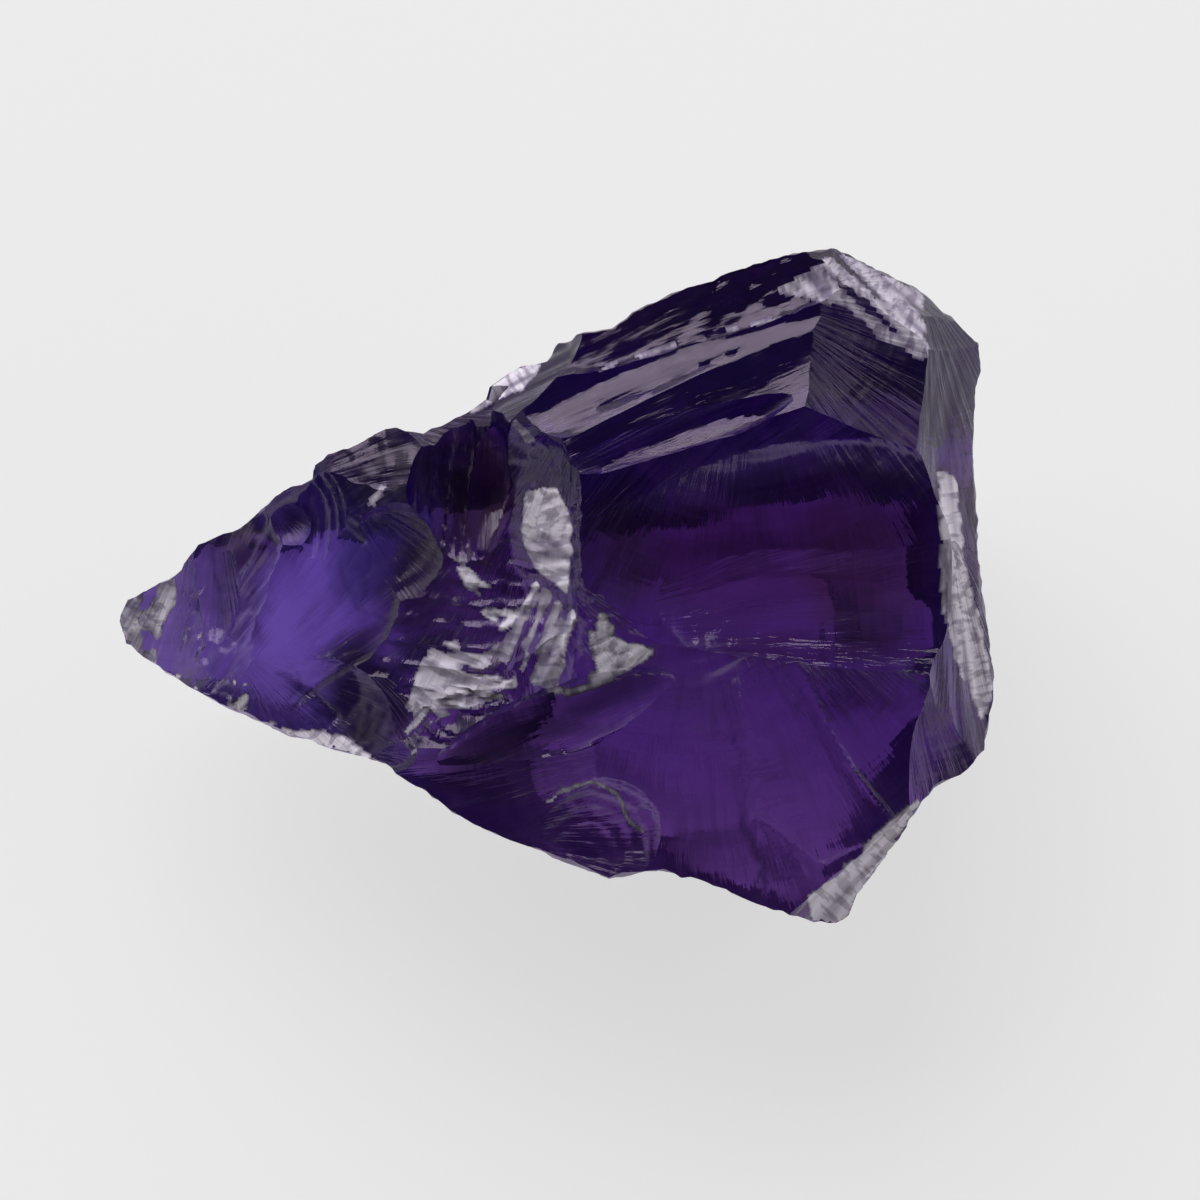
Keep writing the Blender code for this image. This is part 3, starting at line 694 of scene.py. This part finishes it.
FAN_RIDGE = [(1.6, -1.9), (1.9, -2.0), (1.8, -4.3), (1.5, -4.3)]
RIB_FROST = [(-5.0, 1.9), (-2.0, 0.3), (-1.5, -0.6), (-2.8, -2.0), (-3.9, -1.6), (-3.4, -0.8), (-4.4, 0.2)]
WINDOW_FOOT_CHIP = [(-15.5, -4.3), (-14.7, -4.3), (-14.6, -5.8), (-15.2, -6.0), (-15.6, -5.2)]
TAIL_CHIP = [(-16.6, -4.6), (-16.0, -4.5), (-16.0, -5.2), (-16.5, -5.2)]
POINT_FROST = [
    (-18.2, 1.4), (-18.2, -0.4), (-19.0, -2.0), (-19.2, -3.6), (-20.9, -2.8), (-21.2, -1.4), (-20.2, 0.2),
]
STEP_FROST = [(-17.0, -1.8), (-17.9, -1.9), (-18.2, -3.0), (-17.6, -3.9), (-17.0, -3.0)]
TAIL_EDGE = [(-19.0, -3.6), (-14.2, -6.2), (-12.0, -6.2), (-14.0, -6.7), (-16.4, -5.8), (-18.0, -4.6)]
# Painted sheen: the foot, the right flank, the back left and the far corner are steep glossy facets whose
# reflections are painted white.
FOOT_PAINTED_SHEEN = [
    (12.2, -15.9), (13.6, -16.1), (14.6, -14.6), (16.6, -11.4), (17.6, -9.6), (16.2, -10.6),
    (14.4, -12.6), (12.0, -14.6),
]
RIGHT_FLANK = [
    (18.0, 5.6), (18.9, 5.4), (19.4, 1.0), (20.3, -2.0), (20.9, -5.0), (20.2, -6.2), (19.0, -3.6),
    (18.2, -0.5),
]
BACK_LEFT_PAINTED_SHEEN = [
    (-5.6, 8.0), (-4.7, 8.6), (-3.0, 9.9), (-1.9, 10.5), (-0.6, 11.0), (-0.8, 10.2), (-1.6, 9.5),
    (-3.0, 8.8), (-4.4, 8.1),
]
FAR_CORNER = [
    (10.0, 14.0), (13.2, 16.0), (15.0, 15.4), (17.4, 14.2), (17.6, 10.8), (15.5, 11.7), (13.7, 13.3),
    (12.0, 13.6),
]
PALE_WEDGE = [
    (-13.8, -6.55), (-10.2, -6.9), (-9.2, -7.6), (-8.1, -8.6), (-8.6, -8.9), (-11.5, -7.9), (-13.8, -7.0),
]
GULLY_HEAD = [(-2.3, 8.0), (-1.6, 7.9), (-0.8, 7.0), (-1.4, 6.9)]

FROST_AND_PAINTED_SHEEN_ZONES = [
    (LEFT_FAN_FROST, 0.66, flakes(-8, 1.5, 0.42, -0.45, -0.05, 1)),
    (LEFT_FAN_FOOT, 0.5, flakes(48, 1.0, 0.3, -0.2, 0.6, 2)),
    (PALE_STRIP, 1.0, flakes(-30, 1.6, 0.8, -1.5, 0.3, 3)),
    (WEDGE_FROST, 0.45, flakes(66, 2.0, 0.3, -1.1, 0.8, 4)),
    (RIGHT_FAN_FROST, 1.1, flakes(20, 1.0, 0.7, -2.0, 0.1, 5)),
    (WEDGE_LEFT_RIDGE, 1.0, flakes(45, 1, 1, -2, -1, 6)),
    (WEDGE_RIGHT_RIDGE, 1.0, flakes(80, 2, 0.5, -1.2, 0.2, 7)),
    (FAN_RIDGE, 0.9, flakes(80, 2, 0.5, -1.2, 0.2, 8)),
    (RIB_FROST, 0.8, flakes(-24, 1.6, 0.42, -0.05, 0.5, 9)),
    (WINDOW_FOOT_CHIP, 1.0, flakes(50, 0.8, 0.3, -0.3, 0.2, 10)),
    (TAIL_CHIP, 0.8, flakes(50, 0.8, 0.4, -0.3, 0.3, 11)),
    (POINT_FROST, 0.8, flakes(60, 1.6, 1.1, -1.0, 0.8, 12)),
    (STEP_FROST, 0.5, flakes(70, 1.3, 0.6, -0.9, 0.8, 13)),
    (TAIL_EDGE, 0.6, flakes(0, 0.4, 0.4, 0.0, 0.5, 14)),
    (FOOT_PAINTED_SHEEN, 1.1, flakes(52, 3.0, 0.35, -2.4, -0.2, 15)),
    (RIGHT_FLANK, 0.92, flakes(98, 4.0, 0.4, -1.4, 0.5, 16)),
    (BACK_LEFT_PAINTED_SHEEN, 0.85, flakes(27, 3.0, 0.3, -1.5, 0.4, 17)),
    (FAR_CORNER, 0.66, flakes(-45, 2.5, 0.3, -1.3, 0.8, 19)),
    (PALE_WEDGE, 0.95, flakes(-20, 3.0, 0.5, -1.8, -0.4, 20)),
    (GULLY_HEAD, 0.4, flakes(-30, 1.0, 0.7, -1.0, 0.5, 18)),
]

# Painted highlights: pale lines along ridges and small cracks where they catch the light, each with its width
# and strength.
PAINTED_RIDGE_GLINTS = [
    ([(-0.9, -10.6), (0.3, -9.5), (1.6, -9.1), (2.9, -9.7), (3.3, -10.8), (4.1, -11.6)], 0.09, 0.55),
    ([(1.0, 9.7), (3.0, 10.7), (6.0, 11.7), (9.5, 12.5), (13.0, 13.5)], 0.12, 0.42),
    ([(13.8, 13.6), (15.5, 11.8), (17.5, 10.9)], 0.12, 0.45),
    ([(-8.9, 4.0), (-8.2, 4.9)], 0.16, 0.6),
    ([(-17.9, 1.2), (-15.2, 2.8), (-13.4, 4.4), (-12.0, 5.2)], 0.08, 0.35),
]

# Frost and painted sheen are kept above this height, on facets with this much of them, and where on
# average this many of them meet at a corner. Facets that look down, and those of the edge all round, are
# matt.
LOWEST_FROST_AND_PAINTED_SHEEN = 6.0
LEAST_FROST_AND_PAINTED_SHEEN = 0.19
LEAST_COMPANY = 2.3
MATT_BELOW = -0.05

mesh = stone.data
mesh.materials.clear()
for each in CRYSTALS:
    mesh.materials.append(each)
count = len(mesh.vertices)
flat = np.empty(count * 3, np.float32)
mesh.vertices.foreach_get("co", flat)
places = flat.reshape(-1, 3) * 1000.0
mesh.vertices.foreach_get("normal", flat)
upward = flat.reshape(-1, 3)[:, 2]
seen = places[:, :2].astype(float)

frost_and_painted_sheen = np.zeros(count)
for corners, strength, amount in FROST_AND_PAINTED_SHEEN_ZONES:
    edge = smooth(-0.05, 0.12, depth_inside(seen, corners) + 0.12 * noise_at(seen, 0.5, 61))
    frost_and_painted_sheen = np.maximum(frost_and_painted_sheen, edge * strength * amount(seen))
# Painted highlights along the ridges.
for line, width, strength in PAINTED_RIDGE_GLINTS:
    near = np.exp(-((to_line(seen + 0.12 * noise_at(seen, 0.7, 81)[:, None], line) / width) ** 2))
    frost_and_painted_sheen = np.maximum(frost_and_painted_sheen, near * strength * (0.95 + 0.25 * noise_at(seen, 0.6, 82)))
frost_and_painted_sheen *= (upward > 0.05) & (places[:, 2] > LOWEST_FROST_AND_PAINTED_SHEEN)
layer = mesh.attributes.new("frost_and_painted_sheen", "FLOAT", "POINT")
layer.data.foreach_set("value", frost_and_painted_sheen.astype(np.float32))

scars = np.empty(len(mesh.loops) * 3, np.float32)
mesh.attributes["crack"].data.foreach_get("vector", scars)
scars = scars.reshape(-1, 3)[:, 2]
white = []
white_around = np.zeros(count)
for facet in mesh.polygons:
    on_the_edge = abs(scars[facet.loop_start] - EDGE_SCAR) < 0.01
    corners = list(facet.vertices)
    if facet.normal.z < MATT_BELOW or on_the_edge:
        facet.material_index = MATT
    elif sum(frost_and_painted_sheen[i] for i in corners) > LEAST_FROST_AND_PAINTED_SHEEN * len(corners):
        white.append((facet, corners))
        white_around[corners] += 1
for facet, corners in white:
    if white_around[corners].mean() >= LEAST_COMPANY:
        facet.material_index = FROST_AND_PAINTED_SHEEN


# The colour zones: the crystal grew redder in the thick end and bluer towards the point. The ovals
# are painted light and shade as well as colour: one bright patch of painted light in the thin end's
# window, and many deeper ones of painted shade. Each row is an oval seen from above: its middle,
# its two half lengths, its angle and its tint.
THIN_END_TINT = (0.72, 0.66, 0.74)
THICK_END_TINT = (0.97, 0.72, 0.62)
COLOUR_LIGHT_AND_SHADE_ZONES = [
    # Painted light: this first oval brightens the thin end's window; the rows after it darken, mostly as
    # painted shade.
    ((-11.5, -0.7), 3.7, 2.3, 55, (1.5, 1.6, 1.42)),
    ((8.6, 2.8), 8.2, 1.6, 2, (0.6, 0.52, 0.5)),
    ((9.5, 2.5), 9.5, 5.0, 0, (1.0, 0.88, 0.8)),
    ((14.8, 1.5), 3.4, 5.5, 0, (0.78, 0.88, 0.62)),
    ((-3.5, 4.8), 1.7, 3.2, 0, (0.36, 0.38, 0.2)),
    ((-5.4, 4.6), 1.2, 3.4, 5, (0.5, 0.5, 0.5)),
    ((-1.2, -6.4), 5.6, 1.3, 22, (0.44, 0.5, 0.4)),
    ((-8.0, 1.6), 2.3, 2.9, -30, (0.42, 0.5, 0.52)),
    ((-8.7, -5.2), 2.2, 2.6, 20, (0.1, 0.1, 0.12)),
    ((-9.4, -2.9), 2.0, 0.9, 35, (0.4, 0.42, 0.36)),
    ((-14.6, 2.2), 1.6, 1.4, 30, (0.5, 0.4, 0.42)),
    ((-6.5, 0.2), 1.4, 2.6, 0, (0.45, 0.45, 0.45)),
    ((12.0, -2.8), 6.0, 0.8, -2, (0.62, 0.55, 0.5)),
    ((2.7, 1.8), 1.8, 3.4, 0, (0.65, 0.95, 0.5)),
    ((-6.3, -2.9), 1.6, 1.0, 0, (0.5, 0.6, 0.48)),
    ((-8.6, 5.8), 3.0, 1.9, 10, (0.45, 0.45, 0.42)),
    ((-14.9, 0.0), 1.0, 2.8, 0, (0.75, 0.8, 0.7)),
    ((3.0, -4.9), 2.8, 0.8, 22, (0.4, 0.4, 0.45)),
    ((15.6, 9.2), 2.6, 2.6, 0, (0.6, 0.5, 0.6)),
    ((-12.3, 3.3), 1.0, 1.1, 0, (0.4, 0.4, 0.4)),
    ((-4.6, -8.2), 3.4, 1.3, -30, (0.95, 1.0, 0.85)),
    ((-16.6, 0.4), 1.0, 2.4, 0, (0.8, 0.8, 0.75)),
    ((-11.6, -5.3), 1.6, 0.5, -38, (0.3, 0.3, 0.4)),
    ((8.0, 13.6), 8.0, 1.4, 17, (0.6, 0.65, 0.5)),
]

# Painted shade: dark lines along grooves, folds and the edges between scars, each a line on the stone with
# its width and how dark it is.
PAINTED_SHADE_LINES = [
    ([(8.0, -4.8), (8.9, -9.1), (8.9, -11.6), (10.3, -13.9)], 0.13, 0.6),
    ([(9.4, -12.2), (10.6, -13.8)], 0.2, 0.5),
    ([(11.5, -4.8), (13.1, -8.2), (14.9, -10.3), (16.0, -10.9)], 0.22, 0.55),
    ([(4.9, -12.0), (6.2, -12.7)], 0.11, 0.6),
    ([(-13.2, -3.9), (-12.0, -4.9), (-10.5, -6.2)], 0.12, 0.85),
    ([(-12.6, -5.6), (-11.4, -4.6), (-10.0, -3.6)], 0.2, 0.8),
    ([(-12.4, -4.0), (-11.6, -5.8)], 0.1, 0.7),
    ([(-11.3, -3.6), (-9.6, -2.4), (-8.2, -1.6)], 0.12, 0.5),
    ([(-14.0, 2.2), (-14.5, 0.2), (-14.1, -2.6)], 0.14, 0.6),
    ([(-16.5, 2.0), (-16.2, 0.0), (-15.7, -1.9)], 0.12, 0.6),
    ([(-10.3, 1.2), (-9.5, -0.8), (-8.0, -1.7), (-6.3, -1.3)], 0.16, 0.6),
    ([(-11.4, 5.2), (-11.1, 3.4), (-10.7, 1.9)], 0.1, 0.6),
    ([(-10.9, 5.2), (-10.5, 3.2), (-10.1, 2.2)], 0.1, 0.6),
    ([(-11.9, 5.0), (-11.7, 3.6), (-11.4, 2.4)], 0.1, 0.5),
    ([(-5.5, 6.6), (-5.2, 4.0), (-5.2, 1.6)], 0.12, 0.6),
    ([(-6.1, 6.0), (-5.9, 4.0), (-5.9, 2.0)], 0.1, 0.5),
    ([(3.4, -3.4), (7.0, -2.9), (11.0, -3.3), (16.5, -3.0)], 0.3, 0.3),
    ([(-17.6, 1.2), (-17.4, -1.0), (-17.9, -3.4)], 0.12, 0.5),
]


def tint_with_painted_light(points):
    """How the crystal under each point tints the light, as red, green and blue, with painted light and
    painted shade.
    """
    towards_thick = smooth(-10.0, -4.0, points[:, 0] + 0.8 * noise_at(points, 3.0, 70))[:, None]
    tints_light_and_shade = np.array(THIN_END_TINT) * (1 - towards_thick) + np.array(THICK_END_TINT) * towards_thick
    for middle, long, short, angle, zone_tint_and_shade in COLOUR_LIGHT_AND_SHADE_ZONES:
        oval = np.hypot(*turned(points - np.array(middle), angle, long, short).T)
        oval = oval + 0.18 * noise_at(points, 0.9, 71)
        tints_light_and_shade = tints_light_and_shade * (1 - smooth(1.25, 0.6, oval)[:, None] * (1 - np.array(zone_tint_and_shade)))
    wandering = points + 0.15 * noise_at(points, 0.8, 73)[:, None]
    # Painted shade along the grooves, folds and edges.
    for line, width, darkness in PAINTED_SHADE_LINES:
        near = np.exp(-((to_line(wandering, line) / width) ** 2))
        near = near * (0.7 + 0.4 * noise_at(points, 0.6, 74))
        tints_light_and_shade = tints_light_and_shade * (1 - darkness * near[:, None])
    return tints_light_and_shade * (1 + 0.1 * noise_at(points, 1.6, 72)[:, None]).clip(0, 1)


tints_light_and_shade = np.ones((count, 4), np.float32)
tints_light_and_shade[:, :3] = tint_with_painted_light(seen)
tint_and_painted_light = mesh.attributes.new("tint_and_painted_light", "FLOAT_COLOR", "POINT")
tint_and_painted_light.data.foreach_set("color", tints_light_and_shade.ravel())

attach(stone, "root")
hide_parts("amethyst")


# The studio: a pale sheet lit from below like a light pad, so that the crystal glows, a big soft
# window high behind the stone, a faint one at its right, and a dark space overhead where the
# camera is.
FLOOR_SIDE = 6.0
FLOOR_GLOW = 0.635
FLOOR_GREY = 0.36
FLOOR_GAP = 0.00005
OVERHEAD, WALLS, FRONT, HORIZON = 0.06, 1.0, 0.12, 0.9

bm = bmesh.new()
bmesh.ops.create_grid(bm, x_segments=1, y_segments=1, size=FLOOR_SIDE / 2)
floor = mesh_object("floor", bm)
floor.location.z = -FLOOR_GAP
paper = bpy.data.materials.new("pale_paper")
paper.use_nodes = True
sheet = paper.node_tree.nodes["Principled BSDF"]
sheet.inputs["Base Color"].default_value = (FLOOR_GREY, FLOOR_GREY, FLOOR_GREY, 1.0)
sheet.inputs["Roughness"].default_value = 0.9
sheet.inputs["Emission Color"].default_value = (1.0, 0.995, 1.0, 1.0)
sheet.inputs["Emission Strength"].default_value = FLOOR_GLOW
floor.data.materials.append(paper)

world = bpy.data.worlds.new("studio")
bpy.context.scene.world = world
world.use_nodes = True
air = world.node_tree
direction = air.nodes.new("ShaderNodeTexCoord")
split = air.nodes.new("ShaderNodeSeparateXYZ")
air.links.new(direction.outputs["Generated"], split.inputs["Vector"])
around = mapped(air, split.outputs["Y"], -0.7, 0.3, FRONT, WALLS)
up = mapped(air, split.outputs["Z"], 0.15, 0.85, 1.0, OVERHEAD)
low_down = mapped(air, split.outputs["Z"], 0.0, 0.25, HORIZON, 0.0)
room = combined(air, "MULTIPLY", around, up)
air.links.new(combined(air, "MAXIMUM", room, low_down), air.nodes["Background"].inputs["Strength"])
air.nodes["Background"].inputs["Color"].default_value = (1.0, 1.0, 1.0, 1.0)


def soft_light(name, place, size, watts):
    """A rectangle of light, turned to the stone."""
    lamp = bpy.data.lights.new(name, "AREA")
    lamp.shape = "RECTANGLE"
    lamp.size, lamp.size_y = size
    lamp.energy = watts
    made = bpy.data.objects.new(name, lamp)
    made.location = place
    made.rotation_mode = "QUATERNION"
    made.rotation_quaternion = (-Vector(place)).to_track_quat("-Z", "Y")
    made.visible_camera = False
    bpy.context.scene.collection.objects.link(made)


soft_light("window_light", (-0.36, 1.12, 0.75), (1.4, 1.0), 13.5)
soft_light("side_light", (1.15, 0.5, 0.75), (0.7, 0.6), 0.9)

bpy.context.scene.view_settings.view_transform = "Standard"
